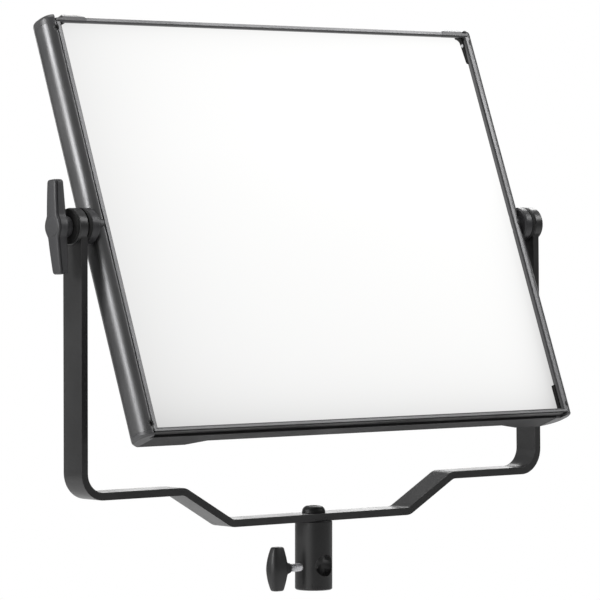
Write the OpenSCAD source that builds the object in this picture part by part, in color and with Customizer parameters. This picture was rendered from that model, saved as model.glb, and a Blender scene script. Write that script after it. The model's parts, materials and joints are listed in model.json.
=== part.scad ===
// Flat LED panel light on a U-shaped tilt yoke with a 16 mm stand socket.
// Origin: centre of the stand socket's lower mouth. +Z up, +Y towards the back of
// the light, the light shines towards -Y. The head is shown tilted back by `tilt`.

/* [Stand socket] */
// Outside diameter of the stand receiver
receiver_od = 27.6; // [26:0.2:32]
// Diameter of the socket bores, for a standard 16 mm (5/8 inch) spigot
socket_d = 16; // [15.9:0.05:16.4]
// Height of the receiver
receiver_h = 51; // [48:1:56]
// Depth of the upright socket bore
socket_depth = 38; // [34:1:38]
// Height of the cross socket above the mouth
cross_z = 18.3; // [16:0.1:22]
// Height of the clamp screw above the mouth
clamp_z = 17; // [14:0.1:20]

/* [Yoke] */
// Width of the yoke bar, front to back
bar_w = 21; // [18:0.5:25]
// Thickness of the yoke bar
bar_t = 5.5; // [4.5:0.1:5.5]
// Distance between the inner faces of the arms
yoke_gap = 434.8; // [434:0.2:440]
// How far the clamped right arm leans in at the tilt axis
arm_lean = 2.8; // [0:0.1:3]
// How far the ends of the base stand above its middle
base_rise = 25.2; // [20:0.2:30]
// Half width of the low middle of the base
dip_in = 85.4; // [70:0.2:95]
// Half width at the top of the two slopes
dip_out = 129.8; // [115:0.2:140]
// Inside radius of the corner between arm and base
corner_r = 14; // [10:1:20]
// Height of the tilt axis above the socket mouth
pivot_z = 268.4; // [266:0.2:290]
// Radius of the round arm heads
head_r = 13; // [12:0.5:15]

/* [Light head] */
// Rest angle of the head, leaning back from upright
tilt = 21.2; // [0:0.2:45]
// Half width of the light opening
open_x = 196.2; // [196:0.1:197]
// Upper edge of the light opening above the tilt axis
open_top = 153.1; // [150:0.1:154]
// Lower edge of the light opening below the tilt axis
open_bottom = 151.9; // [150:0.1:154]
// Width of the front lip
lip_w = 3.5; // [3.2:0.1:3.5]
// Depth of the tilt axis behind the front lip
axis_d = 8.2; // [8:0.1:9]
// Depth of the rear cover over the middle
mid_depth = 22; // [21:0.5:23]
// Depth of the rear cover over the side pods
pod_depth = 29.5; // [28.5:0.5:31]
// Number of emitters on each light strip
emitters = 40; // [20:2:48]

/* [Hidden] */
$fn = 64;

// Colours shared by several nodes
black = [0.09, 0.09, 0.10];
jet = [0.02, 0.02, 0.02];
grey = [0.30, 0.31, 0.33];
steel = [0.75, 0.75, 0.77];

gap = 0.03;                          // clearance between touching parts

// Yoke and pivots
left_arm_x = yoke_gap / 2;           // inner face of the left arm, measured from the middle
right_arm_x = left_arm_x - arm_lean; // inner face of the right arm at the tilt axis
arm_head_t = 8.3;                    // thickness of the round arm heads
stud_r = 4;                          // tilt stud and right pivot bolt
stud_bore_r = stud_r + 0.05;
friction_t = 2.6;                    // from arm face to far side of the friction washer

// Head, in its own frame: x across, y back from the front lip, z up from the tilt axis
lip_x = open_x + lip_w;              // outer edge of the side lips
rail_x = lip_x + 8.0;                // widest point of the head
frame_top = open_top + lip_w;
frame_bottom = -open_bottom - lip_w;
wall_x = open_x + 2.3;               // inner wall of the side rails
lip_t = 2.6;                         // thickness of the lips
diffuser_y = 5.8;                    // front of the diffuser
rail_half = 153;                     // half length of the side rails
edge_screw_x = 191;                  // cover and back plate screw columns
cover_screw_z = [-140, -72, 76, 140];
plate_screw_z = [-110, -36, 36, 110];
boss_screw_z = 5.2;                  // boss screws above and below the tilt axis
end_screw = [lip_x + 1.75, 0, 148.7];
stop_screw = [0, (lip_t + diffuser_y) / 2, 147.3];

// ---------- helpers ----------
module head_frame()
  translate([0, 0, pivot_z]) rotate([-tilt, 0, 0]) translate([0, -axis_d, 0]) children();

module at_clamp() translate([0, 0, clamp_z]) children();

module at_pivot() translate([0, 0, pivot_z]) children();

// the tilt axis inside the head frame
module on_axis() translate([0, axis_d, 0]) children();

module mirrored() mirror([1, 0, 0]) children();

module both() {
  children();
  mirrored() children();
}

// extrude a profile drawn in (x, y) along z
module extrude_z(start, end) translate([0, 0, start]) linear_extrude(end - start) children();

// extrude a profile drawn in (y, z) along x
module extrude_x(start, end)
  translate([start, 0, 0]) rotate([90, 0, 90]) linear_extrude(end - start) children();

// extrude a profile drawn in (x, z) along y
module extrude_y(start, end)
  translate([0, end, 0]) rotate([90, 0, 0]) linear_extrude(end - start) children();

module cone_x(r1, r2, start, end)
  translate([start, 0, 0]) rotate([0, 90, 0]) cylinder(r1 = r1, r2 = r2, h = end - start);

module rod_x(radius, start, end)
  translate([start, 0, 0]) rotate([0, 90, 0]) cylinder(r = radius, h = end - start);

module cone_y(r1, r2, start, end)
  translate([0, start, 0]) rotate([-90, 0, 0]) cylinder(r1 = r1, r2 = r2, h = end - start);

module rod_y(radius, start, end)
  translate([0, start, 0]) rotate([-90, 0, 0]) cylinder(r = radius, h = end - start);

// box between two opposite corners
module box(low, high) translate(low) cube(high - low);

// box centred in x and z, reaching from start to end in y
module block(half_x, half_z, start, end) box([-half_x, start, -half_z], [half_x, end, half_z]);

// cross recess of a screw facing along y
module cross_recess(half_w, half_l, start, end) {
  block(half_w, half_l, start, end);
  block(half_l, half_w, start, end);
}

// upright disc with a cone at each end; the insets are taken off the radius
module coned_disc(radius, low_inset, low_h, body_h, high_inset, high_h) {
  cylinder(r1 = radius - low_inset, r2 = radius, h = low_h);
  translate([0, 0, low_h]) cylinder(r = radius, h = body_h);
  translate([0, 0, low_h + body_h]) cylinder(r1 = radius, r2 = radius - high_inset, h = high_h);
}

// half section (radius, height) of a screw head with a rounded top edge
function dome_profile(rim_r, rim_h, flat_r, round_r, step) = let (round_z = rim_h + 0.3)
  concat([[0, 0], [rim_r, 0], [rim_r, rim_h]],
    [for (a = [0 : step : 90]) [flat_r + round_r * cos(a), round_z + round_r * sin(a)]],
    [[0, round_z + round_r]]);

// Catmull-Rom curve between two points, t from 0 to 1
function spline(before, from, to, after, t) = 0.5 * ((2 * from) + (to - before) * t
  + (2 * before - 5 * from + 4 * to - after) * t * t
  + (3 * from - before - 3 * to + after) * t * t * t);

// smooth curve through points, each span cut into steps
function smooth(points, steps) = let (last = len(points) - 1)
  [for (i = [0 : last - 1], k = [0 : steps - 1])
    spline(points[max(i - 1, 0)], points[i], points[i + 1], points[min(i + 2, last)], k / steps),
    points[last]];

// ---------- yoke ----------
// The bar's centre line is a list of [position in (x, z), direction angle].
// Rounded bend at a corner, turning from one angle to another
function bend(corner, from, to, radius, steps) =
  let (
    turn = to > from ? 1 : -1,
    setback = radius * tan(abs(to - from) / 2),
    start = corner - setback * [cos(from), sin(from)],
    centre = start + turn * radius * [-sin(from), cos(from)])
  [for (i = [0 : steps]) let (a = from + (to - from) * i / steps)
    [centre + turn * radius * [sin(a), -cos(a)], a]];

function half_line(lean) =
  let (
    low_z = receiver_h + bar_t / 2,
    base_z = low_z + base_rise,
    arm_x = left_arm_x + bar_t / 2,
    slope = atan2(base_rise, dip_out - dip_in),
    arm_angle = 90 + atan(lean / (pivot_z - base_z)))
  concat([[[0, low_z], 0]],
    bend([dip_in + 0.6, low_z], 0, slope, 10, 7),
    bend([dip_out + 0.6, base_z], slope, 0, 10, 7),
    bend([arm_x, base_z], 0, arm_angle, corner_r + bar_t / 2, 14),
    [[[arm_x - lean, pivot_z], arm_angle]]);

function line_side(line, shift) = [for (p = line) p[0] + shift * [-sin(p[1]), cos(p[1])]];

function reversed(list) = [for (i = [len(list) - 1 : -1 : 0]) list[i]];

module yoke_half(lean) {
  line = half_line(lean);
  translate([0, bar_w / 2, 0]) rotate([90, 0, 0]) linear_extrude(bar_w)
    polygon(concat(line_side(line, bar_t / 2), reversed(line_side(line, -bar_t / 2))));
  translate([left_arm_x - lean, 0, pivot_z]) rotate([0, 90, 0])
    coned_disc(head_r, 1.2, 1.3, arm_head_t - 1.8, 0.5, 0.5);
}

module yoke_bracket() color(black) difference() {
  union() {
    yoke_half(arm_lean);
    mirrored() yoke_half(0);
  }
  both() at_pivot() rod_x(stud_bore_r, right_arm_x - 1, left_arm_x + 10);
  translate([0, 0, receiver_h - 1]) cylinder(r = 5.1, h = bar_t + 2);
}

module stand_receiver() color(black) difference() {
  chamfer = 0.8;
  coned_disc(receiver_od / 2, chamfer, chamfer, receiver_h - 2 * chamfer - gap, chamfer, chamfer);
  translate([0, 0, -1]) cylinder(d = socket_d, h = socket_depth + 1);
  translate([0, 0, cross_z]) rotate([90, 0, 0]) cylinder(d = socket_d, h = 40, center = true);
  // yoke bolt hole
  translate([0, 0, receiver_h - 11.5]) cylinder(r = 5.05, h = 14);
  // clamp screw hole, wider at its mouth
  at_clamp() rod_x(3.05, -20, -5);
  at_clamp() rod_x(3.5, -20, -12.6);
}

// domed hex socket bolt holding the bar on the receiver
module yoke_bolt() color(black) translate([0, 0, receiver_h + bar_t + gap]) difference() {
  shank_l = bar_t + 10.5;
  union() {
    rotate_extrude() polygon(dome_profile(8.75, 0.6, 4.2, 4.4, 6));
    translate([0, 0, -shank_l]) cylinder(r = 5, h = shank_l + 0.1);
  }
  translate([0, 0, 2.2]) cylinder(r = 3.46, h = 6, $fn = 6);
}

module friction_washer(arm_x) color(jet) at_pivot() difference() {
  rod_x(head_r + 0.1, arm_x - friction_t, arm_x - gap);
  rod_x(stud_bore_r, arm_x - 3, arm_x + 1);
}

module left_friction_washer() mirrored() friction_washer(left_arm_x);

module right_friction_washer() friction_washer(right_arm_x);

// ---------- stand clamp, on the left of the receiver ----------
clamp_screw_r = 3;
clamp_knob_x = -35.2;
knob_corner_r = 2.8;
// knob sections: height above the screw, half width in x, half width in y
knob_sections = [
  [-16.1, 3.7, 3.7], [-12.6, 5.5, 4.7], [-8, 6.8, 5.5], [0, 7.5, 6],
  [8, 6.8, 5.5], [12.6, 5.5, 4.7], [16.1, 3.7, 3.7]];

module clamp_tip() color([0.78, 0.62, 0.30]) at_clamp() {
  rod_x(2.1, -9.6, -8.5);
  cone_x(2.1, 1.7, -8.5, -8.1);
}

module clamp_screw() color(steel) at_clamp() {
  rod_x(clamp_screw_r, -29.5, -10.1);
  cone_x(clamp_screw_r, 2.5, -10.1, -9.65);
}

module clamp_knob() color(black) at_clamp() difference() {
  union() {
    hull() for (section = knob_sections)
      for (x = [-1, 1], y = [-1, 1])
        translate([clamp_knob_x + x * (section[1] - knob_corner_r),
            y * (section[2] - knob_corner_r), section[0]])
          cylinder(r = knob_corner_r, h = 0.3, center = true, $fn = 20);
    cone_x(5.6, 3.9, -29, -24);
  }
  rod_x(clamp_screw_r + 0.02, -29.6, -20);
}

// ---------- tilt lock, outside the left arm ----------
module tilt_handle_washer() color([0.03, 0.03, 0.03]) at_pivot() difference() {
  rod_x(head_r - 0.6, -left_arm_x - 9.9, -left_arm_x - arm_head_t - 0.05);
  rod_x(stud_bore_r, -left_arm_x - 11, -left_arm_x - 8);
}

module tilt_stud() color(steel) at_pivot() {
  rod_x(stud_r, -left_arm_x - 18.5, -left_arm_x + 9.6);
  cone_x(stud_r, 3.4, -left_arm_x + 9.6, -left_arm_x + 10.2);
}

// hub with two wings, turned slightly about the stud
module tilt_handle() color([0.2, 0.2, 0.21])
translate([-left_arm_x - 9.95, 0, pivot_z]) rotate([-5.5, 0, 0]) difference() {
  union() {
    rod_x(7.3, -12.6, 0);
    rod_x(8.4, -13.1, -4.4);
    for (side = [-1, 1]) hull() {
      translate([-4.4, 0, 0]) rotate([0, -90, 0]) cylinder(r = 6.0, h = 8.7, $fn = 32);
      for (y = [-1, 1], x = [0, 1])
        translate([-6.1 - x * 3.7, y * (side > 0 ? 3.2 : 2.9), side * 31.1])
          sphere(r = 1.9, $fn = 16);
    }
    cone_x(7.9, 8.4, -13.6, -13.1);
  }
  rod_x(stud_r + 0.02, -8.6, 1);
}

// ---------- pivot bosses ----------
module at_boss_screws()
  for (side = [-1, 1]) translate([0, axis_d, side * boss_screw_z]) children();

// spigot in the rail, neck shaped to the rail's skin, and a disc facing the arm
module boss(arm_x) color(grey) head_frame() difference() {
  disc_x = arm_x - 9.7;
  union() {
    on_axis() rod_x(7.9, wall_x + 1.75, rail_x);
    on_axis() difference() {
      union() {
        rod_x(10.3, lip_x + 5.6, arm_x - 9.1);
        translate([disc_x, 0, 0]) rotate([0, 90, 0])
          coned_disc(head_r, 1.2, 1.2, 5.37, 0.4, 0.5);
      }
      translate([0.06, -axis_d, 0]) extrude_z(-14, 14) polygon(rail_outline);
    }
  }
  on_axis() rod_x(stud_bore_r, arm_x - 11.6, arm_x);
  at_boss_screws() rod_x(1.5, wall_x, wall_x + 4.4);
}

module left_pivot_boss() mirrored() boss(left_arm_x);

module right_pivot_boss() boss(right_arm_x);

module pivot_boss_screws() color(steel) head_frame() both() at_boss_screws() {
  rod_x(1.48, wall_x + 1.3, wall_x + 4.2);
  cone_x(2.75, 1.48, wall_x + 0.05, wall_x + 1.35);
}

module right_pivot_washer() color(steel) at_pivot() difference() {
  rod_x(8.5, right_arm_x + arm_head_t + gap, right_arm_x + 9.8);
  rod_x(stud_bore_r, right_arm_x + 8, right_arm_x + 11);
}

module right_pivot_bolt() color(black) translate([right_arm_x + 9.8 + gap, 0, pivot_z])
difference() {
  union() {
    rotate([0, 90, 0]) rotate_extrude() polygon(dome_profile(7, 0.5, 3.6, 3.3, 9));
    rod_x(stud_r, -20.6, 0.1);
  }
  translate([1.7, 0, 0]) rotate([0, 90, 0]) cylinder(r = 2.9, h = 5, $fn = 6);
}

// ---------- side rails ----------
extra = pod_depth - 29.5;            // extra depth of the rails behind the tilt axis

function from_lip(points) = [for (p = points) [lip_x + p[0], p[1]]];

// Rail profiles: [outwards from the lip's outer edge, back from the front]
// bulged outer skin, from the front lip round to the back
rail_skin = from_lip(concat(
  [[0.2, 0.85], [0.6, 0.8]],
  [for (a = [84 : -7 : 7]) [0.3 + 7.7 * pow(cos(a), 0.87), 11 - 10.4 * pow(sin(a), 0.87)]],
  smooth([
    [8.0, 11], [8.0, 13.5], [7.93, 15.8], [7.75, 17.2 + extra], [7.3, 18.4 + extra],
    [6.3, 20.2 + extra], [4.4, 22.9 + extra], [1.9, 25.4 + extra], [-1.2, 27.6 + extra],
    [-4.7, 29.5 + extra]], 3)));
// hollow chamber inside the skin
rail_hollow = from_lip(concat(
  smooth([
    [0.4, 3.2], [1.3, 2.75], [2.8, 3.0], [4.3, 3.6], [5.5, 4.75], [6.1, 6.2],
    [6.5, 9], [6.5, 13], [6.4, 15.5], [6.1, 17.2 + extra], [5.3, 18.5 + extra]], 3),
  [[0.4, 22.9 + extra]]));
// lip, skin, inner wall and the inward flange, in (x, y)
rail_outline = concat(
  [[open_x, 0.8], [open_x + 1.2, 0], [lip_x, 0]],
  rail_skin,
  [[lip_x - 4.7, pod_depth - 1.8], [wall_x, pod_depth - 5.1], [wall_x, 16.2],
   [wall_x - 10, 16.2], [wall_x - 10, 14.3], [wall_x, 14.3], [wall_x, lip_t],
   [open_x, lip_t]]);
cap_outline = concat(
  [for (p = rail_skin)
    if (p[0] > lip_x + 0.5 || (p[1] > 20 && p[1] < pod_depth - 0.1)) p],
  [[lip_x - 4.65, pod_depth - 0.05], [lip_x - 4.65, 8.25], [lip_x + 0.5, 8.25],
   [lip_x + 0.5, 1.2]]);

module at_end_screws()
  for (side = [-1, 1]) translate([end_screw[0], 0, side * end_screw[2]]) children();

module at_edge_screws(heights) for (z = heights) translate([edge_screw_x, 0, z]) children();

module rail() color(grey) head_frame() difference() {
  extrude_z(-rail_half, rail_half) polygon(rail_outline);
  extrude_z(-rail_half - 1, rail_half + 1) polygon(rail_hollow);
  // boss spigot and its countersunk screws
  on_axis() rod_x(8, wall_x + 1.7, rail_x + 1);
  at_boss_screws() cone_x(2.85, 1.55, wall_x - 0.02, wall_x + 1.32);
  at_boss_screws() rod_x(1.55, wall_x - 1, wall_x + 2.5);
  // countersunk end cap screw holes
  at_end_screws() {
    rod_y(1.3, -3, 5);
    cone_y(2.3, 1.3, 1.45, 2.4);
    rod_y(2.3, -3, 1.46);
  }
  at_edge_screws(cover_screw_z) rod_y(1.5, 14, 17);
  at_edge_screws(plate_screw_z) rod_y(1.7, 14, 17);
  translate(stop_screw) rod_x(1.0, wall_x - 1, wall_x + 1.2);
}

module left_rail() mirrored() rail();

module right_rail() rail();

// ---------- top and bottom of the frame ----------
corner_x = 173.7;                    // inner end of the top corners

// hooked profile in (y, z) from the opening edge; side is +1 above, -1 below
module lip_profile(edge, side) polygon([
  [0.8, edge], [lip_t, edge], [lip_t, edge + side * 1.95], [8.1, edge + side * 1.95],
  [8.1, edge + side * lip_w], [0, edge + side * lip_w], [0, edge + side * 1.2]]);

module top_rail() color(grey) head_frame()
  extrude_x(-corner_x + 0.2, corner_x - 0.2) lip_profile(open_top, 1);

module bottom_rail() color(grey) head_frame() difference() {
  extrude_x(-lip_x, lip_x) lip_profile(-open_bottom, -1);
  both() box([open_x - 0.05, -1, -rail_half - 0.05], [lip_x + 1, 10, 0]);
}

// side profile cut to the raised front outline
module corner() color(grey) head_frame() intersection() {
  end_x = lip_x + 0.4;
  inner_top = open_top + 1.95;
  extrude_x(corner_x, end_x) polygon([
    [0.8, open_top], [lip_t, open_top], [lip_t, inner_top], [8.1, inner_top],
    [8.1, frame_top + 3], [2.8, frame_top + 3], [1.9, frame_top + 2.6],
    [0, frame_top + 0.7], [0, open_top + 1.2]]);
  extrude_y(-1, 10) polygon([
    [corner_x, open_top - 1], [corner_x, frame_top + 0.1], [174.6, frame_top + 0.9],
    [176.6, frame_top + 1.6], [180.2, frame_top + 2.6], [183, frame_top + 3],
    [191, frame_top + 3], [192.6, frame_top + 2.7], [193.9, frame_top + 1.4],
    [194.3, frame_top - 0.5], [end_x, frame_top - 0.6], [end_x, rail_half + 0.15],
    [open_x - 0.05, rail_half + 0.15], [open_x - 0.05, open_top - 1]]);
}

module top_right_corner() corner();

module top_left_corner() mirrored() corner();

// ---------- end caps ----------
cap_centre = [lip_x - 3.5, 16];      // point the cap tapers towards
cap_shoulder = [0.974, 0.98];        // scale of the outline after the first taper

module cap_taper(z, height, shrink)
  translate([cap_centre[0], cap_centre[1], z])
    linear_extrude(height, scale = shrink, slices = 1, segments = 0, $fn = 0) children();

module centred_cap_outline() translate(-cap_centre) polygon(cap_outline);

// cap with a plug in the end of the rail's hollow, drawn at the top
module end_cap(top) color(black) head_frame() mirror([0, 0, top ? 0 : 1]) difference() {
  shoulder_z = top ? 156.9 : 155.2;
  crown_h = top ? 1.5 : 1.0;
  union() {
    extrude_z(rail_half + 0.15, shoulder_z + 0.01) polygon(cap_outline);
    cap_taper(shoulder_z, 0.9, cap_shoulder) centred_cap_outline();
    cap_taper(shoulder_z + 0.89, crown_h, [0.866, 0.94])
      scale(cap_shoulder) centred_cap_outline();
    extrude_z(rail_half - 9, rail_half + 0.3) intersection() {
      polygon(rail_hollow);
      translate([lip_x + 0.45, 2.9]) square([4.4, 14]);
    }
  }
  translate(end_screw) rod_y(1.25, 0, 9);
}

module top_right_end_cap() end_cap(true);

module top_left_end_cap() mirrored() end_cap(true);

module bottom_right_end_cap() end_cap(false);

module bottom_left_end_cap() mirrored() end_cap(false);

module end_cap_screws() color(steel) head_frame() both() at_end_screws() difference() {
  union() {
    cone_y(2.15, 1.2, 1.5, 2.42);
    rod_y(1.2, 2.41, 9);
  }
  cross_recess(0.22, 1.3, 1, 1.9);
}

// ---------- accessory channel stops, between the lips and the diffuser ----------
channel_front = lip_t + 0.05;
channel_rear = diffuser_y - 0.05;
stop_wall_x = wall_x - 0.05;
fillet_r = 4.2;                      // rounding at the opening's upper corner

module upper_channel_stops() color(jet) head_frame() both() difference() {
  fillet_x = open_x - 0.9 - fillet_r;
  extrude_y(channel_front, channel_rear) polygon(concat(
    [for (a = [180 : 15 : 270]) [open_x + 1.8 + 1.6 * cos(a), 134.2 + 1.6 * sin(a)]],
    [[stop_wall_x, 132.6], [stop_wall_x, open_top + 1.9]],
    [[fillet_x, open_top + 1.9], [fillet_x, open_top]],
    [for (a = [90 : -15 : 0])
      [fillet_x + fillet_r * cos(a), open_top - fillet_r + fillet_r * sin(a)]]));
  translate(stop_screw) rod_x(1.02, open_x - 3, wall_x + 1);
  translate(stop_screw) rod_x(1.35, open_x - 3, open_x - 0.1);
}

module lower_channel_stops() color(jet) head_frame() both()
  box([open_x - 0.8, channel_front, -open_bottom - 1.6], [stop_wall_x, channel_rear, -132.4]);

module channel_stop_screws() color(steel) head_frame() both() translate(stop_screw) difference() {
  union() {
    rod_x(1.3, open_x - 0.75, open_x - 0.12);
    rod_x(0.95, open_x - 0.2, wall_x + 1.1);
  }
  box([open_x - 1, -0.18, -0.8], [open_x - 0.5, 0.18, 0.8]);
}

// ---------- optics ----------
guide_half = 196;                    // half width of the light guide and reflector
guide_rear = 12;
strip_x = 197.05;                    // inner face of the LED strips
emitter_span = 292;                  // first to last emitter

module sheet(half_x, start, end)
  box([-half_x, start, -open_bottom - 1.15], [half_x, end, rail_half + 0.1]);

module diffuser() color([0.97, 0.97, 0.97]) head_frame()
  box([-wall_x + 0.1, diffuser_y, -open_bottom - 1.8],
    [wall_x - 0.1, diffuser_y + 2, open_top + 1.8]);

module light_guide_plate() color([0.85, 0.92, 0.95]) head_frame()
  sheet(guide_half, 8, guide_rear);

module reflector_sheet() color([1, 1, 1]) head_frame()
  sheet(guide_half, guide_rear + gap, guide_rear + gap + 0.3);

// plate cut back at its sides along the LED strips
module back_plate() color([0.7, 0.71, 0.73]) head_frame() difference() {
  sheet(197.9, 12.5, 14.1);
  both() box([196.6, 12, -rail_half + 1], [199, 15, rail_half - 1]);
  both() at_edge_screws(plate_screw_z) rod_y(1.3, 12, 15);
}

module back_plate_screws() color(steel) head_frame() both() at_edge_screws(plate_screw_z)
difference() {
  union() {
    rod_y(1.25, 12.7, 16.3);
    rod_y(2.15, 16.25, 18);
  }
  block(0.3, 1.6, 17.3, 19);
}

module led_strips() color([0.9, 0.9, 0.88]) head_frame() both()
  box([strip_x, 7.95, -150], [wall_x - 0.1, 14.0, 150]);

module led_emitters() color([1, 0.95, 0.6]) head_frame() both()
  for (i = [0 : emitters - 1])
    translate([0, 0, -emitter_span / 2 + emitter_span * i / (emitters - 1)])
      box([196.25, 8.9, -1.4], [strip_x - 0.02, 11.7, 1.4]);

// ---------- places of the controls, on the left pod ----------
controls_x = -174.5;                 // centre line of the controls
display_z = 37;
button_z = 13;
button_x = [-11, 0, 11];             // mode, channel, menu, from the centre line
brightness_z = -9;
colour_z = -35;
switch_z = -95;
inlet_z = -125;
board_parts_y = 18.85;               // front of the parts behind the control board

module at_control(z, x = 0) translate([controls_x + x, 0, z]) children();

module at_buttons() for (x = button_x) at_control(button_z, x) children();

module at_encoders() for (z = [brightness_z, colour_z]) at_control(z) children();

module at_board_posts() for (x = [-184.4, -158.6], z = [-54, 60]) translate([x, 0, z]) children();

// ---------- rear cover ----------
cover_x = lip_x - 4.75;              // half width of the cover
cover_top = frame_top - 0.25;
cover_bottom = frame_bottom - 1.4;
left_pod_x = -152;                   // inner edges of the pods
right_pod_x = 170.5;
cover_t = 2;
// cover sections in (x, y)
cover_outline = [
  [-cover_x, 8.35], [cover_x, 8.35], [cover_x, pod_depth],
  [right_pod_x, pod_depth], [right_pod_x - 21, mid_depth],
  [left_pod_x + 15, mid_depth], [left_pod_x, pod_depth], [-cover_x, pod_depth]];
cavity_x = cover_x - 1.75;
cavity_pod_y = pod_depth - cover_t;
cavity_mid_y = mid_depth - cover_t;
cover_cavity = [
  [-cover_x - 1, 8], [cover_x + 1, 8], [cover_x + 1, 16.3],
  [cavity_x, 16.3], [cavity_x, cavity_pod_y],
  [right_pod_x + 0.6, cavity_pod_y], [right_pod_x - 20.4, cavity_mid_y],
  [left_pod_x + 14.4, cavity_mid_y], [left_pod_x - 0.6, cavity_pod_y],
  [-cavity_x, cavity_pod_y], [-cavity_x, 16.3], [-cover_x - 1, 16.3]];

// round-ended slot along z
module slot(width, length, start, end) {
  block(width / 2, length / 2, start, end);
  for (side = [-1, 1])
    translate([0, 0, side * length / 2]) rod_y(width / 2, start, end, $fn = 24);
}

module rear_cover() color([0.12, 0.12, 0.13]) head_frame() difference() {
  cut_y = pod_depth - 4;
  out_y = pod_depth + 1;
  union() {
    difference() {
      extrude_z(cover_bottom, cover_top) polygon(cover_outline);
      extrude_z(cover_bottom + cover_t, cover_top - cover_t) polygon(cover_cavity);
    }
    // cover screw posts and control board posts
    both() at_edge_screws(cover_screw_z) rod_y(3.6, 16.3, pod_depth - 1);
    at_board_posts() rod_y(2.6, board_parts_y, pod_depth - 1);
  }
  both() at_edge_screws(cover_screw_z) {
    rod_y(1.65, 15, 22);
    rod_y(2.95, 20, out_y);
  }
  at_board_posts() rod_y(1.2, 18, 25);
  // vents in the middle and in the right pod
  for (side = [-1, 1], i = [-7 : 7])
    translate([i * 12 + 8, 0, side * 92]) slot(3, 34, mid_depth - 4, mid_depth + 1);
  for (i = [-5 : 5]) translate([184, 0, i * 9]) rotate([0, 90, 0]) slot(2.6, 16, cut_y, out_y);
  // openings for the controls
  at_control(display_z) block(17.1, 13.1, pod_depth - 3, out_y);
  at_buttons() rod_y(3.6, cut_y, out_y);
  at_encoders() rod_y(3.55, cut_y, out_y);
  at_control(switch_z) block(6.1, 9.6, cut_y, out_y);
  at_control(inlet_z) rod_y(5.6, cut_y, out_y);
}

module rear_cover_screws() color(steel) head_frame() both() at_edge_screws(cover_screw_z)
difference() {
  union() {
    rod_y(1.48, 14.35, 20.1);
    rod_y(2.8, 20.05, 22.2);
  }
  cross_recess(0.3, 1.8, 21.2, 23);
}

// ---------- controls ----------
module display_window() color([0.02, 0.02, 0.03]) head_frame()
  at_control(display_z) block(17, 13, pod_depth - 1.6, pod_depth - 0.1);

module display_module() color([0.15, 0.25, 0.2]) head_frame() at_control(display_z) difference() {
  block(16.5, 14, 22.2, 26.4);
  block(14, 11, 25.9, 27);
}

// flanged knob with a grooved rim, a dished end and a pointer notch
module knob(z) color([0.1, 0.1, 0.11]) head_frame() at_control(z) difference() {
  union() {
    rod_y(8.6, pod_depth + 1.0, pod_depth + 2.4);
    translate([0, pod_depth + 2.3, 0]) rotate([-90, 0, 0]) linear_extrude(8.7)
      polygon([for (i = [0 : 71]) (i % 3 == 0 ? 7.75 : 8.2) * [cos(i * 5), sin(i * 5)]]);
    rod_y(7.6, pod_depth + 10.9, pod_depth + 11.3);
    cone_y(7.6, 7.1, pod_depth + 11.3, pod_depth + 11.9);
  }
  rod_y(3.02, pod_depth, pod_depth + 9.5);
  rod_y(6.2, pod_depth + 11.5, pod_depth + 13);
  box([-0.4, pod_depth + 10.6, 2.5], [0.4, pod_depth + 13, 5.4]);
}

module shaft(z) color(steel) head_frame() at_control(z) rod_y(3, 25.2, pod_depth + 9.4);

module brightness_knob() knob(brightness_z);

module brightness_shaft() shaft(brightness_z);

module colour_knob() knob(colour_z);

module colour_shaft() shaft(colour_z);

module encoder_bodies() color([0.2, 0.3, 0.25]) head_frame() at_encoders() difference() {
  union() {
    block(6, 6, board_parts_y, 25.4);
    rod_y(3.5, 25.3, pod_depth + 0.6);
  }
  rod_y(3.05, 24.8, 40);
}

// cap, flange behind the cover and stem to the switch
module button(x) color([0.25, 0.25, 0.27]) head_frame() at_control(button_z, x) {
  rod_y(3.5, pod_depth - 2.4, pod_depth + 1.0);
  cone_y(3.5, 3.1, pod_depth + 0.99, pod_depth + 1.4);
  rod_y(4.4, pod_depth - 3.4, pod_depth - 2.4);
  rod_y(1.6, 23.1, pod_depth - 3.3);
}

module mode_button() button(button_x[0]);

module channel_button() button(button_x[1]);

module menu_button() button(button_x[2]);

module button_switches() color([0.3, 0.3, 0.3]) head_frame() at_buttons() {
  block(3, 3, board_parts_y, 22.3);
  rod_y(1.4, 22.2, 22.5);
}

module control_board() color([0.05, 0.35, 0.15]) head_frame() difference() {
  box([-187.6, 17.2, -58], [-156, 18.8, 64]);
  at_board_posts() rod_y(1.4, 16, 20);
}

module control_board_screws() color(steel) head_frame() at_board_posts() {
  rod_y(1.15, 17.1, 24);
  rod_y(2.3, 16.35, 17.15);
}

rocker_y = 26.5;                     // depth of the rocker's axis

module power_switch_housing() color([0.05, 0.05, 0.05]) head_frame() at_control(switch_z)
difference() {
  flange_y = pod_depth + 0.02;
  union() {
    block(6, 9.5, 17.4, flange_y);
    block(7.6, 11, flange_y, pod_depth + 1.5);
  }
  translate([0, rocker_y, 0]) rod_x(8.3, -4.7, 4.7);
  block(4.7, 8.3, rocker_y, 40);
  translate([0, rocker_y, 0]) rod_x(1.05, -5.6, 5.6);
}

module power_rocker() color([0.08, 0.08, 0.08]) head_frame()
translate([controls_x, rocker_y, switch_z]) rotate([8, 0, 0]) {
  intersection() {
    rod_x(8.0, -4.5, 4.5);
    extrude_x(-5, 5) polygon([[-1.5, -9], [4.9, -9], [3.7, 0], [4.9, 9], [-1.5, 9]]);
  }
  rod_x(1, -5.5, 5.5);
}

// flanged barrel with a centre pin
module dc_inlet() color([0.06, 0.06, 0.06]) head_frame() at_control(inlet_z) {
  difference() {
    union() {
      rod_y(5.5, 16.8, pod_depth + 0.1);
      rod_y(7, pod_depth + gap, pod_depth + 1.8);
      rod_y(7.4, pod_depth - 4.2, pod_depth - 2.05);
    }
    rod_y(3.2, 20, pod_depth + 3);
  }
  rod_y(1.05, 19.9, pod_depth + 0.8);
}

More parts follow.
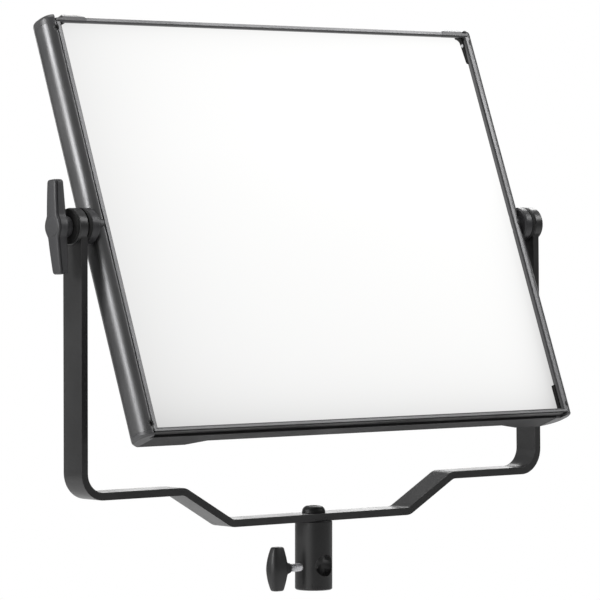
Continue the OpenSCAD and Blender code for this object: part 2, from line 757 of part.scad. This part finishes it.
// ---------- power electronics, in the right pod ----------
driver_rear = 19.9;
driver_parts_y = driver_rear + 0.05;

module driver_board() color([0.05, 0.3, 0.4]) head_frame()
  box([164, 18.3, -66], [188, driver_rear, 66]);

module driver_components() color([0.2, 0.2, 0.22]) head_frame() {
  for (z = [-50, -30]) translate([171, 0, z]) rod_y(5, driver_parts_y, 25.5);
  for (z = [-2, 26]) box([168, driver_parts_y, z], [182, 25.2, z + 14]);
  for (z = [50, 58]) translate([180, 0, z]) rod_y(3, driver_parts_y, 26);
}

// run across the head with an upright run at each end
module wiring_harness() color([0.6, 0.1, 0.1]) head_frame() translate([0, 16.3, -20]) {
  rod_x(1.3, -153, 162);
  for (x = [160.75, -151.75]) translate([x, 0, 0]) cylinder(r = 1.25, h = 66);
}

yoke_bracket();
stand_receiver();
yoke_bolt();
left_friction_washer();
right_friction_washer();
clamp_tip();
clamp_screw();
clamp_knob();
tilt_handle_washer();
tilt_stud();
tilt_handle();
right_pivot_bolt();
right_pivot_washer();
left_pivot_boss();
right_pivot_boss();
pivot_boss_screws();
left_rail();
right_rail();
top_rail();
bottom_rail();
top_left_corner();
top_right_corner();
top_left_end_cap();
top_right_end_cap();
bottom_left_end_cap();
bottom_right_end_cap();
end_cap_screws();
upper_channel_stops();
lower_channel_stops();
channel_stop_screws();
diffuser();
light_guide_plate();
reflector_sheet();
back_plate();
back_plate_screws();
led_strips();
led_emitters();
rear_cover();
rear_cover_screws();
display_window();
display_module();
brightness_knob();
brightness_shaft();
colour_knob();
colour_shaft();
encoder_bodies();
mode_button();
channel_button();
menu_button();
button_switches();
control_board();
control_board_screws();
power_switch_housing();
power_rocker();
dc_inlet();
driver_board();
driver_components();
wiring_harness();
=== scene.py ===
import bpy
import bmesh
import json
import math
from mathutils import Matrix, Vector


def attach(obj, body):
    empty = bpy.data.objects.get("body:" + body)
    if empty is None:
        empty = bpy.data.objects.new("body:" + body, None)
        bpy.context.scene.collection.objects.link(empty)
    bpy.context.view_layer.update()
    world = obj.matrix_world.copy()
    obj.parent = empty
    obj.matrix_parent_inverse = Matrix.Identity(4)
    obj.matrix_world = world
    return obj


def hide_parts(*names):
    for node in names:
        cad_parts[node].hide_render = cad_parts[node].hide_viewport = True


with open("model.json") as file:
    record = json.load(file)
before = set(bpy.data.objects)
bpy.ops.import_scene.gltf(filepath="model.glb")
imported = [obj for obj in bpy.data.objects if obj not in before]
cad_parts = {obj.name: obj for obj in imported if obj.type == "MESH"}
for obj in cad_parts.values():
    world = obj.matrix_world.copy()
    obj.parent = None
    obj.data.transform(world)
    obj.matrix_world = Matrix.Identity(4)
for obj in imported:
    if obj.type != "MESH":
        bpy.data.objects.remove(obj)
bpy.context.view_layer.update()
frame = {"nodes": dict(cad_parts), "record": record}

MM = 0.001
TILT = math.radians(21.2)
PIVOT_Z = 0.2684
CLAMP_Z = 17.0 * MM     # height of the clamp screw's axis


# ---------------------------------------------------------------- shader graph
class Graph:
    """A node tree, emptied and given an output node. Inputs take a socket or a plain value."""

    def __init__(self, owner, output="OutputMaterial"):
        owner.use_nodes = True
        self.tree = owner.node_tree
        self.tree.nodes.clear()
        self.output = self.add(output)

    def feed(self, socket, value):
        if isinstance(value, bpy.types.NodeSocket):
            self.tree.links.new(value, socket)
        else:
            socket.default_value = value

    def add(self, kind, inputs=None, **settings):
        node = self.tree.nodes.new("ShaderNode" + kind)
        for key, value in settings.items():
            setattr(node, key, value)
        for key, value in (inputs or {}).items():
            self.feed(node.inputs[key], value)
        return node

    def finish(self, shader):
        self.feed(self.output.inputs[0], shader)

    def mix(self, factor, a, b):
        return self.add("Mix", {0: factor, 6: a, 7: b}, data_type="RGBA").outputs[2]

    def calc(self, operation, a, b=None, clamp=False):
        inputs = {0: a} if b is None else {0: a, 1: b}
        return self.add("Math", inputs, operation=operation, use_clamp=clamp).outputs[0]

    def noise(self, vector, scale, detail=2.0, roughness=0.5):
        inputs = {"Vector": vector, "Scale": scale, "Detail": detail, "Roughness": roughness}
        return self.add("TexNoise", inputs).outputs["Fac"]

    def remap(self, value, start, end, at_start, at_end):
        inputs = {0: value, 1: start, 2: end, 3: at_start, 4: at_end}
        return self.add("MapRange", inputs).outputs[0]

    def dot(self, a, b):
        return self.add("VectorMath", {0: a, 1: b}, operation="DOT_PRODUCT").outputs["Value"]

    def bump(self, height, distance_mm):
        inputs = {"Strength": 1.0, "Distance": distance_mm * MM, "Height": height}
        return self.add("Bump", inputs).outputs[0]

    def object_point(self):
        return self.add("TexCoord").outputs["Object"]

    def head_axes(self, point):
        """x, depth and height of a point from the pivot, along the tilted head."""
        mapping = self.add("Mapping", {
            "Vector": point,
            "Location": (0, PIVOT_Z * math.sin(TILT), -PIVOT_Z * math.cos(TILT)),
            "Rotation": (TILT, 0, 0),
        }, vector_type="POINT")
        return self.add("SeparateXYZ", {0: mapping.outputs[0]}).outputs

    def camera_switch(self, others, camera):
        """One shader for camera rays and another for all other rays."""
        is_camera = self.add("LightPath").outputs["Is Camera Ray"]
        return self.add("MixShader", {0: is_camera, 1: others, 2: camera}).outputs[0]


def scaled(colour, factor, lift=0.0):
    return tuple(min(1, c * factor + lift) for c in colour) + (1,)


# ------------------------------------------------------------------ materials
def surface(name, colour, roughness, metallic=0.0, grain=1500, grain_tint=0.25, bump=0.01,
            vary=0.15, wear_and_sheen=0.25, worn_and_sheen=None, wear_and_sheen_radius=0.35, coat=0.0, specular=0.5,
            painted_shade_below=None):
    """A satin solid with fine grain, slow colour and roughness drift, and lighter edges that are
    partly rubbed wear and partly a painted edge highlight.

    grain is a noise scale; bump and the edge radius are in mm; the edge colour given is that of
    the lighter edges, worn and with painted highlight.
    The painted shade below darkens the colour under a height on the head, standing in for the
    shade on the downward-facing lower edge.
    """
    material = bpy.data.materials.new(name)
    graph = Graph(material)
    point = graph.object_point()
    fine = graph.noise(point, scale=grain, detail=3.0, roughness=0.6)
    slow = graph.noise(point, scale=28.0, detail=3.0)

    drift = graph.remap(slow, 0.3, 0.7, at_start=0, at_end=1)
    shade = graph.mix(drift, scaled(colour, 1 - vary), scaled(colour, 1 + vary))
    speckle = graph.remap(fine, 0.35, 0.75, at_start=0.0, at_end=grain_tint)
    shade = graph.mix(speckle, shade, scaled(colour, 1.8, lift=0.004))

    # lighter edges: partly rubbed wear, partly a painted highlight standing in for light caught
    # on the rounded edges
    if wear_and_sheen > 0:
        # the rounded normal leaves the true one only near an edge
        rounded = graph.add("Bevel", {"Radius": wear_and_sheen_radius * MM}, samples=4).outputs[0]
        normal = graph.add("NewGeometry").outputs["Normal"]
        edge = graph.remap(graph.dot(rounded, normal), 0.995, 0.86, at_start=0.0, at_end=1.0)
        blotches = graph.noise(point, scale=90.0, detail=4.0, roughness=0.65)
        patch = graph.remap(blotches, 0.42, 0.72, at_start=0.15, at_end=1.0)
        wear_and_sheen_mask = graph.calc("MULTIPLY", graph.calc("MULTIPLY", edge, patch), wear_and_sheen, clamp=True)
        wear_and_sheen_colour = worn_and_sheen + (1,) if worn_and_sheen else scaled(colour, 2.2, lift=0.03)
        shade = graph.mix(wear_and_sheen_mask, shade, wear_and_sheen_colour)

    # painted shade: faces below this height on the head, which face downwards, get a darker
    # colour
    if painted_shade_below:
        height = graph.head_axes(point)[2]
        underside_shade_mask = graph.remap(height, painted_shade_below["full"], painted_shade_below["none"],
                            at_start=1.0, at_end=0.0)
        shade = graph.mix(underside_shade_mask, shade, scaled(colour, painted_shade_below["factor"]))

    satin = graph.remap(slow, 0.25, 0.75, at_start=roughness - 0.05, at_end=roughness + 0.06)
    inputs = {
        "Base Color": shade,
        "Roughness": satin,
        "Metallic": metallic,
        "Specular IOR Level": specular,
        "Normal": graph.bump(fine, bump),
    }
    if coat:
        inputs.update({"Coat Weight": coat, "Coat Roughness": 0.12})
    graph.finish(graph.add("BsdfPrincipled", inputs).outputs[0])
    return material


def lit_opal(name):
    """The lit diffuser: white, dimming towards its edges and its lower part."""
    side, bottom, top = 0.196, -0.152, 0.153    # sheet edges along the head's x and height
    dim_from = 0.060                            # height where the lower dimming starts
    full_glow = 0.995
    material = bpy.data.materials.new(name)
    graph = Graph(material)
    point = graph.object_point()
    x, _, height = graph.head_axes(point)

    def falloff(position, edge, length):
        """1 at the edge, fading inwards; length is negative when inwards is downwards or -x."""
        distance = graph.calc("SUBTRACT", position, edge)
        return graph.calc("EXPONENT", graph.calc("MULTIPLY", distance, -1.0 / length))

    drop = graph.calc("SUBTRACT", dim_from, height)
    low = graph.calc("MAXIMUM", graph.calc("MULTIPLY", drop, 1 / (dim_from - bottom)), 0.0)
    right_low = graph.calc("MULTIPLY", falloff(x, side, length=-0.012), low)
    clouds = graph.noise(point, scale=6.0)
    terms = (   # pattern, amount added to the glow
        (falloff(x, -side, length=0.055), -0.1405),
        (falloff(height, bottom, length=0.018), -0.1684),
        (right_low, -0.2566),
        (falloff(height, top, length=-0.010), -0.0622),
        (graph.calc("MULTIPLY", x, 1 / side), 0.0163),
        (low, -0.0678),
        (graph.calc("SUBTRACT", clouds, 0.5), 0.012),
    )
    glow = full_glow
    for pattern, amount in terms:
        glow = graph.calc("ADD", glow, graph.calc("MULTIPLY", pattern, amount))

    emission = graph.add("Emission", {"Color": (1.0, 1.0, 0.995, 1), "Strength": glow})
    sheet = graph.add("BsdfPrincipled", {
        "Base Color": (0.012, 0.012, 0.012, 1),
        "Roughness": 0.6,
        "Specular IOR Level": 0.1,
        "Normal": graph.bump(graph.noise(point, scale=1800.0), distance_mm=0.004),
    })
    both = graph.add("AddShader", {0: emission.outputs[0], 1: sheet.outputs[0]})
    graph.finish(both.outputs[0])
    return material


FRAME_METAL = dict(roughness=0.39, metallic=0.9, grain_tint=0.16, bump=0.004, vary=0.06,
                   wear_and_sheen=0.35, worn_and_sheen=(0.35, 0.35, 0.36))

SURFACES = {
    "yoke_paint": dict(
        colour=(0.017, 0.017, 0.0173), roughness=0.31, grain=1700, grain_tint=0.5, bump=0.016,
        vary=0.2, wear_and_sheen=0.35),
    "receiver_paint": dict(
        colour=(0.011, 0.011, 0.0112), roughness=0.36, grain=1700, grain_tint=0.5, bump=0.012,
        vary=0.25, wear_and_sheen=0.4),
    "bolt_black": dict(
        colour=(0.005, 0.005, 0.005), roughness=0.42, grain_tint=0.2, bump=0.004,
        wear_and_sheen=0.4, worn_and_sheen=(0.12, 0.12, 0.12), wear_and_sheen_radius=0.15, specular=0.3),
    "friction_rubber": dict(
        colour=(0.006, 0.006, 0.006), roughness=0.7, grain=1200, grain_tint=0.3, bump=0.02,
        wear_and_sheen=0.1, specular=0.3),
    "brass": dict(
        colour=(0.62, 0.46, 0.20), roughness=0.28, metallic=1.0, grain=900, grain_tint=0.1,
        bump=0.003, wear_and_sheen=0.2, worn_and_sheen=(0.8, 0.65, 0.35)),
    "bright_steel": dict(
        colour=(0.62, 0.62, 0.64), roughness=0.26, metallic=1.0, grain=1400, grain_tint=0.12,
        bump=0.003, wear_and_sheen=0.3, worn_and_sheen=(0.85, 0.85, 0.86)),
    "knob_plastic": dict(
        colour=(0.032, 0.032, 0.034), roughness=0.44, grain=1300, grain_tint=0.35, bump=0.012,
        vary=0.12, wear_and_sheen=0.3),
    "boss_paint": dict(
        colour=(0.035, 0.035, 0.037), roughness=0.38, metallic=0.3, grain_tint=0.4,
        bump=0.012, wear_and_sheen=0.35),
    "anodised_frame": dict(colour=(0.120, 0.120, 0.122), **FRAME_METAL),
    # a slightly lighter copy of the frame metal as painted light, with painted shade on its
    # downward-facing underside
    "frame_with_painted_underside": dict(
        colour=(0.135, 0.135, 0.137), **FRAME_METAL,
        painted_shade_below=dict(full=-0.1548, none=-0.1542, factor=0.05)),
    "corner_plastic": dict(
        colour=(0.075, 0.075, 0.077), roughness=0.40, metallic=0.35, grain=1400,
        grain_tint=0.3, wear_and_sheen=0.4),
    "black_hardware": dict(
        colour=(0.006, 0.006, 0.006), roughness=0.34, metallic=0.4, grain_tint=0.2,
        bump=0.004, wear_and_sheen=0.5, worn_and_sheen=(0.16, 0.16, 0.17), wear_and_sheen_radius=0.15),
    "wing_plastic": dict(
        colour=(0.011, 0.011, 0.0112), roughness=0.42, grain=1300, grain_tint=0.35,
        bump=0.012, vary=0.12, wear_and_sheen=0.3),
    "stop_plastic": dict(
        colour=(0.004, 0.004, 0.004), roughness=0.55, grain=1200, grain_tint=0.3, bump=0.012,
        wear_and_sheen=0.15, specular=0.25),
    "clear_acrylic": dict(
        colour=(0.85, 0.9, 0.92), roughness=0.05, grain=400, grain_tint=0.05, bump=0.001,
        wear_and_sheen=0.0),
    "white_film": dict(
        colour=(0.9, 0.9, 0.9), roughness=0.6, grain=900, grain_tint=0.1, bump=0.004,
        wear_and_sheen=0.0),
    "bare_aluminium": dict(
        colour=(0.6, 0.6, 0.62), roughness=0.35, metallic=1.0, grain=1200, grain_tint=0.15,
        bump=0.004, wear_and_sheen=0.2, worn_and_sheen=(0.8, 0.8, 0.8)),
    "emitter_phosphor": dict(
        colour=(0.8, 0.65, 0.15), roughness=0.3, grain=900, grain_tint=0.2, bump=0.004,
        wear_and_sheen=0.0),
    "cover_plastic": dict(
        colour=(0.014, 0.014, 0.0145), roughness=0.52, grain=1100, grain_tint=0.45,
        bump=0.025, vary=0.12, wear_and_sheen=0.2, specular=0.2),
    "button_plastic": dict(
        colour=(0.10, 0.10, 0.105), roughness=0.42, grain=1300, grain_tint=0.2, bump=0.008,
        wear_and_sheen=0.3),
    "display_lens": dict(
        colour=(0.004, 0.004, 0.006), roughness=0.06, grain=300, grain_tint=0.05,
        bump=0.0005, wear_and_sheen=0.1, coat=1.0),
    "component_plastic": dict(
        colour=(0.04, 0.04, 0.045), roughness=0.5, grain=900, grain_tint=0.2, wear_and_sheen=0.2),
    "circuit_board": dict(
        colour=(0.01, 0.09, 0.04), roughness=0.3, grain=500, grain_tint=0.3, wear_and_sheen=0.1,
        coat=0.4),
    "cable_jacket": dict(
        colour=(0.18, 0.02, 0.02), roughness=0.45, grain=900, grain_tint=0.2, wear_and_sheen=0.1),
}
MATERIALS = {name: surface(name, **look) for name, look in SURFACES.items()}
MATERIALS["opal_acrylic"] = lit_opal("opal_acrylic")


# ------------------------------------------------------------------ CAD nodes
SLOTS = {part["node"]: part["material_slot"] for part in frame["record"]["subparts"]}
# nodes that take another material than their slot's
OVERRIDES = {
    # the bottom rail takes the frame metal with painted shade on its underside
    "bottom_rail": "frame_with_painted_underside",
    "stand_receiver": "receiver_paint",
    "yoke_bolt": "bolt_black",
}
# node: (edge rounding in mm, segments); width 0 leaves the node as it is
DEFAULT_BEVEL = (0.15, 2)
BEVELS = {
    "yoke_bracket": (0.9, 3), "stand_receiver": (0.25, 2), "left_friction_washer": (0.3, 2),
    "right_friction_washer": (0.3, 2), "tilt_handle_washer": (0.3, 2),
    "left_pivot_boss": (0.5, 3), "right_pivot_boss": (0.5, 3),
    "left_rail": (0.18, 2), "right_rail": (0.18, 2), "top_rail": (0.2, 2),
    "bottom_rail": (0.2, 2), "top_left_corner": (0.35, 2), "top_right_corner": (0.35, 2),
    "rear_cover": (0.8, 3), "diffuser": (0, 0), "light_guide_plate": (0, 0),
    "reflector_sheet": (0, 0), "led_emitters": (0, 0),
}


def modify(part, name, kind, **settings):
    modifier = part.modifiers.new(name, kind)
    for key, value in settings.items():
        setattr(modifier, key, value)


def weight_normals(part, keep_sharp):
    modify(part, "normals", "WEIGHTED_NORMAL", keep_sharp=keep_sharp, weight=60)


def dress(part, material, width, segments):
    """Gives a CAD node its material and rounds its hard edges with modifiers."""
    slots = part.data.materials
    if slots:
        for i in range(len(slots)):
            slots[i] = material
    else:
        slots.append(material)
    if width:
        modify(part, "weld", "WELD", merge_threshold=2e-6)
        modify(part, "flat", "DECIMATE", decimate_type="DISSOLVE",
               angle_limit=math.radians(0.6))
        modify(part, "round", "BEVEL", width=width * MM, segments=segments,
               limit_method="ANGLE", angle_limit=math.radians(32),
               use_clamp_overlap=True, miter_outer="MITER_ARC")
        weight_normals(part, keep_sharp=False)


for node, part in frame["nodes"].items():
    material = MATERIALS[OVERRIDES.get(node) or SLOTS[node]]
    dress(part, material, *BEVELS.get(node, DEFAULT_BEVEL))


# --------------------------------------------- mesh helpers (all lengths in mm)
def link(name, data):
    made = bpy.data.objects.new(name, data)
    bpy.context.scene.collection.objects.link(made)
    return made


def piece(name, shape, material, place):
    """A smooth object from (points in mm, faces), moved by the matrix place."""
    points, faces = shape
    mesh = bpy.data.meshes.new(name)
    mesh.from_pydata([tuple(c * MM for c in point) for point in points], [], faces)
    mesh.validate()
    made = link(name, mesh)
    mesh.transform(place)
    work = bmesh.new()
    work.from_mesh(mesh)
    bmesh.ops.remove_doubles(work, verts=work.verts, dist=1e-7)
    bmesh.ops.recalc_face_normals(work, faces=work.faces)
    work.to_mesh(mesh)
    work.free()
    for polygon in mesh.polygons:
        polygon.use_smooth = True
    mesh.materials.append(MATERIALS[material])
    return made


def mark_creases(part, degrees):
    """Marks edges sharp where their faces meet at more than the given angle."""
    work = bmesh.new()
    work.from_mesh(part.data)
    for edge in work.edges:
        if len(edge.link_faces) == 2 and edge.calc_face_angle(0) > math.radians(degrees):
            edge.smooth = False
    work.to_mesh(part.data)
    work.free()


def loft(rings, ends="capped"):
    """Rings of equal length joined in order; ends are "capped", "open" or "looped" together."""
    size, count = len(rings[0]), len(rings)
    faces = []
    for k in range(count if ends == "looped" else count - 1):
        here, there = k * size, (k + 1) % count * size
        for i in range(size):
            j = (i + 1) % size
            faces.append((here + i, here + j, there + j, there + i))
    if ends == "capped":
        faces.append(tuple(reversed(range(size))))
        faces.append(tuple(range((count - 1) * size, count * size)))
    return [point for ring in rings for point in ring], faces


def joined(*shapes):
    points, faces = [], []
    for more_points, more_faces in shapes:
        start = len(points)
        points += more_points
        faces += [tuple(i + start for i in face) for face in more_faces]
    return points, faces


def circle(x, radius, sides):
    """A ring about the x axis."""
    angles = [2 * math.pi * i / sides for i in range(sides)]
    return [(x, radius * math.cos(angle), radius * math.sin(angle)) for angle in angles]


def lathe(profile, sides, ends="capped"):
    """Turns (x, radius) pairs about the x axis."""
    return loft([circle(x, radius, sides) for x, radius in profile], ends)


# --------------------------------------------- T-handle of the tilt lock (mm)
# x = 0 is the inner end of the hub; the handle reaches outwards along -x
HANDLE_PLACE = (Matrix.Translation((-0.22735, 0, PIVOT_Z))
                @ Matrix.Rotation(math.radians(-5.5), 4, "X"))
ARM_TOP, ARM_BOTTOM = 33.0, -33.4
BAR_HALF_WIDTH = 6.15                   # at the middle, narrowing towards the tips
TOP_TIP_HALF_WIDTH, BOTTOM_TIP_HALF_WIDTH = 4.9, 4.8
SWELL_RADIUS = 8.5                      # round swelling at the middle of the bar
CORNER_RADIUS, MIN_CORNER_RADIUS = 2.3, 0.35
CORNER_STEPS = 5
CORNER_Z = 31                           # height whose width the corners take
FACE_X, FACE_BOW, BOW_POWER = -13.65, 1.9, 1.6
# heights of the outline's points on each side of the middle
OUTLINE_Z = [0.0, 1.5, 3.0, 4.2, 5.2, 5.9, 6.5, 7.1, 7.8, 8.6, 9.8, 11.5, 14, 17, 20, 23, 26, 29]
# (outline inset, x from the bowed outer face): rounded edge, then a shallow groove
OUTER_RINGS = [
    (3.2, -0.06), (1.5, 0.0), (0.75, 0.12), (0.3, 0.4), (0.06, 0.85), (0.0, 1.2),
    (0.12, 1.38), (0.62, 1.5), (0.72, 1.8), (0.62, 2.1), (0.12, 2.24), (0.0, 2.45),
]
# (outline inset, x): side wall and rounded inner edge
INNER_RINGS = [(0.0, -7.0), (0.1, -5.6), (0.4, -4.8), (0.9, -4.35), (1.6, -4.2)]
# (x, radius), closed on itself
HANDLE_HUB = [
    (-4.9, 5.0), (-4.9, 7.15), (-1.2, 7.35), (-0.45, 7.35),
    (-0.12, 7.1), (0.0, 6.7), (0.0, 4.2), (-4.6, 4.2),
]
# (x, radius) of the round disc on the outer face
HANDLE_DISC = [(-13.2, 6.95), (-13.72, 6.95), (-13.82, 6.8), (-13.85, 6.4)]


def handle_half_width(z):
    tip = TOP_TIP_HALF_WIDTH if z >= 0 else BOTTOM_TIP_HALF_WIDTH
    bar = BAR_HALF_WIDTH + (tip - BAR_HALF_WIDTH) * min(1, abs(z) / ARM_TOP)
    swell = math.sqrt(max(0, SWELL_RADIUS ** 2 - z * z))
    return math.log(math.exp(bar) + math.exp(swell))    # smooth maximum of the two


def handle_outline(inset):
    """(y, z) points, pulled in by inset: up the +y side, then down the -y side."""
    radius = max(MIN_CORNER_RADIUS, CORNER_RADIUS - inset)
    angles = [math.pi / 2 * i / CORNER_STEPS for i in range(CORNER_STEPS + 1)]
    top_y = handle_half_width(CORNER_Z) - inset - radius
    bottom_y = handle_half_width(-CORNER_Z) - inset - radius
    top_z = ARM_TOP - inset - radius
    bottom_z = ARM_BOTTOM + inset + radius
    side = [(bottom_y + radius * math.sin(a), bottom_z - radius * math.cos(a)) for a in angles]
    heights = [-z for z in reversed(OUTLINE_Z[1:])] + OUTLINE_Z
    side += [(handle_half_width(z) - inset, z) for z in heights]
    side += [(top_y + radius * math.cos(a), top_z + radius * math.sin(a)) for a in angles]
    return side + [(-y, z) for y, z in reversed(side)]


def strip_cap(size, first, flip):
    """Quads across a ring whose second half mirrors its first half."""
    faces = [(first + i, first + i + 1, first + size - 2 - i, first + size - 1 - i)
             for i in range(size // 2 - 1)]
    return [tuple(reversed(face)) for face in faces] if flip else faces


def t_handle():
    rings = []
    for inset, offset in OUTER_RINGS:
        rings.append([(FACE_X + FACE_BOW * (abs(z) / ARM_TOP) ** BOW_POWER + offset, y, z)
                      for y, z in handle_outline(inset)])
    for inset, x in INNER_RINGS:
        rings.append([(x, y, z) for y, z in handle_outline(inset)])
    size = len(rings[0])
    points, faces = loft(rings, "open")
    faces += strip_cap(size, 0, flip=False)
    faces += strip_cap(size, (len(rings) - 1) * size, flip=True)
    hub = lathe(HANDLE_HUB, sides=64, ends="looped")
    disc = lathe(HANDLE_DISC, sides=64)
    shape = joined((points, faces), hub, disc)
    handle = piece("tilt_t_handle", shape, "knob_plastic", HANDLE_PLACE)
    weight_normals(handle, keep_sharp=True)
    mark_creases(handle, degrees=40)
    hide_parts("tilt_handle")
    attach(handle, "tilt_lock")


t_handle()


# --------------------------------------------- stand clamp (mm, x along the screw)
CLAMP_PLACE = Matrix.Translation((0, 0, CLAMP_Z))
WING_X = -35.2
WING_HALF_HEIGHT = 16.2
# (half-width at the middle, share lost at the tips, power of the taper)
WING_TAPERS = [
    (7.9, 0.44, 1.9),   # towards -x
    (7.7, 0.42, 1.3),   # towards +x
    (6.2, 0.44, 1.7),   # along y
]
# (distance in from the tip, cut from each half-width): the rounded rim
WING_RIM = [(0, 1.3), (0.05, 0.85), (0.25, 0.42), (0.6, 0.12), (1.05, 0.0)]
WING_STEPS = 20         # between the two rims
# (x, radius), closed on itself
KNOB_NECK = [
    (-30.5, 6.0), (-27.9, 5.4), (-26.7, 4.7), (-25.9, 4.15), (-25.4, 3.95),
    (-24.4, 3.9), (-24.08, 3.7), (-24.0, 3.1), (-30.0, 3.1),
]


def wing_section(z, half_widths, sides=56, power=3.2):
    """A superellipse ring at height z."""
    left, right, half_y = half_widths
    points = []
    for i in range(sides):
        angle = 2 * math.pi * i / sides
        c, s = math.cos(angle), math.sin(angle)
        reach = right if c >= 0 else -left
        points.append((WING_X + reach * abs(c) ** (2 / power),
                       math.copysign(half_y * abs(s) ** (2 / power), s), z))
    return points


def wing_half_widths(z, cut=0.0):
    share = abs(z) / WING_HALF_HEIGHT
    return [width * (1 - loss * share ** power) - cut for width, loss, power in WING_TAPERS]


def wing_knob():
    rim = []
    for rise, cut in WING_RIM:
        z = -WING_HALF_HEIGHT + rise
        rim.append((z, wing_half_widths(z, cut)))
    start = rim[-1][0]
    middle = []
    for i in range(1, WING_STEPS):
        z = start - 2 * start * i / WING_STEPS
        middle.append((z, wing_half_widths(z)))
    levels = rim + middle + [(-z, widths) for z, widths in reversed(rim)]
    body = loft([wing_section(z, widths) for z, widths in levels])
    neck = lathe(KNOB_NECK, sides=48, ends="looped")
    knob = piece("clamp_wing_knob", joined(body, neck), "wing_plastic", CLAMP_PLACE)
    weight_normals(knob, keep_sharp=True)
    mark_creases(knob, degrees=50)
    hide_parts("clamp_knob")
    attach(knob, "clamp")


def threaded_rod(start, end, radius, pitch, depth, chamfer, flat, sides, steps_per_turn):
    """A rod along x with a helical thread; flat is the share of a flank at root and crest."""
    rings = []
    steps = int((end - start) / pitch * steps_per_turn)
    for k in range(steps + 1):
        x = start + (end - start) * k / steps
        end_limit = radius - chamfer + min(x - start, end - x, chamfer)
        ring = []
        for i in range(sides):
            angle = 2 * math.pi * i / sides
            phase = (x / pitch - angle / (2 * math.pi)) % 1.0
            wave = abs(2 * phase - 1)
            height = min(1, max(0, (wave - flat) / (1 - 2 * flat)))
            reach = min(radius - depth * (1 - height), end_limit)
            ring.append((x, reach * math.cos(angle), reach * math.sin(angle)))
        rings.append(ring)
    return loft(rings)


def clamp_screw():
    shape = threaded_rod(start=-28.9, end=-9.66, radius=2.97, pitch=1.0, depth=0.55,
                         chamfer=0.5, flat=0.12, sides=36, steps_per_turn=12)
    screw = piece("clamp_threaded_screw", shape, "bright_steel", CLAMP_PLACE)
    mark_creases(screw, degrees=60)
    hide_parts("clamp_screw")
    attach(screw, "clamp")


wing_knob()
clamp_screw()


# ------------------------------------------------------------------ studio
WHITE = (1, 1, 1, 1)
FLOOR_Z = -0.32
FLOOR_HALF = 12.0
AIM = (0, 0, 0.26)      # point the softboxes face


def floor_white():
    """Pure white to the camera, a slightly mottled matt white to other rays."""
    material = bpy.data.materials.new("floor_white")
    graph = Graph(material)
    mottle = graph.noise(graph.object_point(), scale=3.0, detail=3.0)
    colour = graph.mix(mottle, (0.78, 0.78, 0.78, 1), (0.82, 0.82, 0.82, 1))
    matt = graph.add("BsdfDiffuse", {"Color": colour})
    bright = graph.add("Emission", {"Color": WHITE, "Strength": 1.0})
    graph.finish(graph.camera_switch(others=matt.outputs[0], camera=bright.outputs[0]))
    return material


def floor():
    mesh = bpy.data.meshes.new("floor")
    corners = [(-1, -1), (1, -1), (1, 1), (-1, 1)]
    points = [(x * FLOOR_HALF, y * FLOOR_HALF, FLOOR_Z) for x, y in corners]
    mesh.from_pydata(points, [], [(0, 1, 2, 3)])
    made = link("floor", mesh)
    mesh.materials.append(floor_white())


def softbox(name, direction, distance, size, power):
    """A rectangular light that lies in the given direction from AIM and faces it."""
    direction = Vector(direction).normalized()
    light = bpy.data.lights.new(name, "AREA")
    light.shape = "RECTANGLE"
    light.size, light.size_y = size
    light.energy = power
    made = link(name, light)
    made.location = Vector(AIM) + direction * distance
    made.rotation_euler = (-direction).to_track_quat("-Z", "Y").to_euler()


def studio_world():
    """White to the camera; to other rays a dim sky, brighter overhead, with three glows."""
    world = bpy.data.worlds.new("studio")
    bpy.context.scene.world = world
    graph = Graph(world, "OutputWorld")
    incoming = graph.add("NewGeometry").outputs["Incoming"]    # points away from the sky
    z = graph.add("SeparateXYZ", {0: incoming}).outputs[2]

    def glow(away, start, end):
        """Rises to 1 in the part of the sky opposite to the vector away."""
        return graph.remap(graph.dot(incoming, away), start, end, at_start=0.0, at_end=1.0)

    back_right = glow((-0.651, -0.759, 0.0), start=0.80, end=0.97)
    back_left = glow((0.80, -0.60, 0.0), start=0.55, end=0.98)
    left = glow((0.987, 0.160, 0.0), start=0.84, end=0.98)
    overhead = graph.remap(z, 0.0, -0.9, at_start=0.0, at_end=1.0)
    horizon = graph.remap(graph.calc("ABSOLUTE", z), 0.14, 0.24, at_start=1.0, at_end=0.0)

    def times(a, b):
        return graph.calc("MULTIPLY", a, b)

    bands = graph.calc("ADD", times(times(back_right, horizon), 2.6),
                       times(times(left, horizon), 3.6))
    sky = graph.calc("ADD", 0.10, times(overhead, 0.35))
    wide = graph.calc("ADD", times(back_left, 0.28), sky)
    strength = graph.calc("ADD", bands, wide)
    lighting = graph.add("Background", {"Color": WHITE, "Strength": strength})
    backdrop = graph.add("Background", {"Color": WHITE, "Strength": 1.0})
    graph.finish(graph.camera_switch(others=lighting.outputs[0], camera=backdrop.outputs[0]))


def camera():
    data = bpy.data.cameras.new("camera")
    data.sensor_width = 36
    data.lens = 231.1725
    data.clip_end = 50
    made = link("camera", data)
    made.location = (-1.85561, -2.146789, 0.283051)
    # 1.405 degrees below level, turned from +y towards +x
    made.rotation_euler = (math.radians(90 - 1.405), 0, math.radians(-40.636))
    bpy.context.scene.camera = made


floor()
softbox("left_softbox", direction=(-0.93, 0.28, 0.24), distance=1.9, size=(0.75, 0.5), power=16)
softbox("right_top_softbox", direction=(0.66, -0.50, 0.56), distance=2.0, size=(0.75, 0.75),
        power=13)
softbox("top_softbox", direction=(0.0, 0.1, 1.0), distance=2.2, size=(1.6, 1.6), power=24)
softbox("back_right_softbox", direction=(0.65, 0.52, 0.56), distance=2.0, size=(0.9, 0.9),
        power=14)
studio_world()
camera()
bpy.context.scene.view_settings.view_transform = "Standard"
bpy.context.scene.view_settings.look = "None"


bpy.context.view_layer.update()
